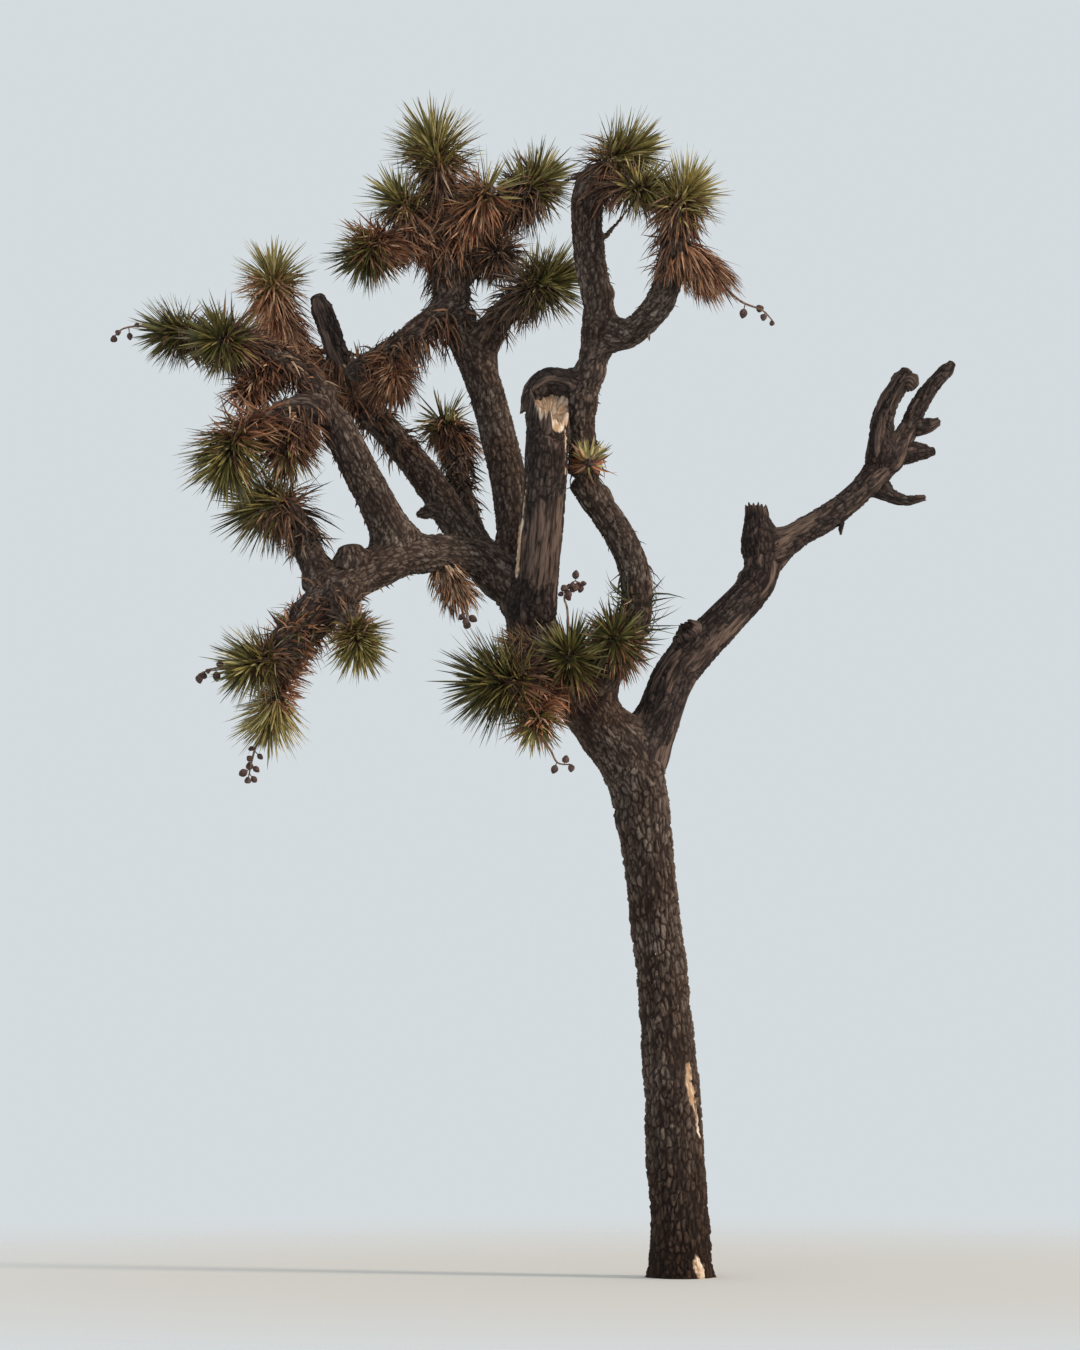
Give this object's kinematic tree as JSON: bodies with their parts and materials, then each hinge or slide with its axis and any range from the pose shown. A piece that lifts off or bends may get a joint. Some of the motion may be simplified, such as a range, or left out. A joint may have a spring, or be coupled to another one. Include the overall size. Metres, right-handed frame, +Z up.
{
  "type": "joshua tree",
  "caption": "Leaning desert tree yucca with bare bent boughs, dagger-leaf rosettes at the bough ends and one dead forked arm, cut flat at ground level",
  "frame": {"origin": "middle of the flat cut under the trunk, at ground level", "axes": "+Z up; +X to the right of the picture; +Y away from the viewer"},
  "size_m": [4.2383, 2.009, 5.9639],
  "materials": {
    "bark": "grey-brown fissured bark with flat plates and leaf scars",
    "dead_wood": "weathered bare dead wood, paler where it broke",
    "live_leaves": "stiff olive to yellow-green dagger leaves over brown dead ones",
    "dead_leaves": "dry orange-brown dead leaves hanging as a skirt"
  },
  "bodies": {
    "root": {"trunk": "bark", "bough_left": "bark", "arm_lower": "dead_wood", "bow_lower": "bark", "stem_centre": "bark", "limb_broken": "dead_wood", "limb_west": "bark", "limb_low": "bark", "limb_front": "bark", "limb_riser": "bark", "limb_inner": "bark", "limb_arch": "bark", "limb_tip": "bark", "limb_outer": "bark", "limb_high": "bark", "stub_high": "dead_wood", "limb_back": "bark", "limb_drooping": "bark", "bow_upper": "bark", "limb_curled": "dead_wood", "limb_right_top": "bark", "limb_right": "bark", "limb_third": "bark", "limb_fifth": "bark", "limb_sixth": "bark", "limb_fork": "bark", "arm_stub": "dead_wood", "arm_upper": "dead_wood", "finger_left": "dead_wood", "finger_right": "dead_wood", "rosette_top": "live_leaves", "rosette_top_left": "live_leaves", "rosette_between": "live_leaves", "rosette_third": "live_leaves", "rosette_fifth": "live_leaves", "skirt_fifth": "dead_leaves", "rosette_sixth": "live_leaves", "rosette_right_top": "live_leaves", "rosette_right_middle": "live_leaves", "rosette_right": "live_leaves", "skirt_right": "dead_leaves", "rosette_high": "live_leaves", "rosette_tip": "live_leaves", "rosette_tip_front": "live_leaves", "skirt_left": "dead_leaves", "rosette_arch": "live_leaves", "rosette_left": "live_leaves", "rosette_riser": "live_leaves", "rosette_low": "live_leaves", "rosette_hanging": "live_leaves", "rosette_front": "live_leaves", "rosette_back": "live_leaves", "skirt_drooping": "dead_leaves", "skirt_west": "dead_leaves", "skirt_fork": "dead_leaves", "rosette_fork": "live_leaves", "rosette_fork_low": "live_leaves", "rosette_fork_front": "live_leaves", "rosette_fork_right": "live_leaves", "rosette_bow": "live_leaves"}
  },
  "joints": []
}
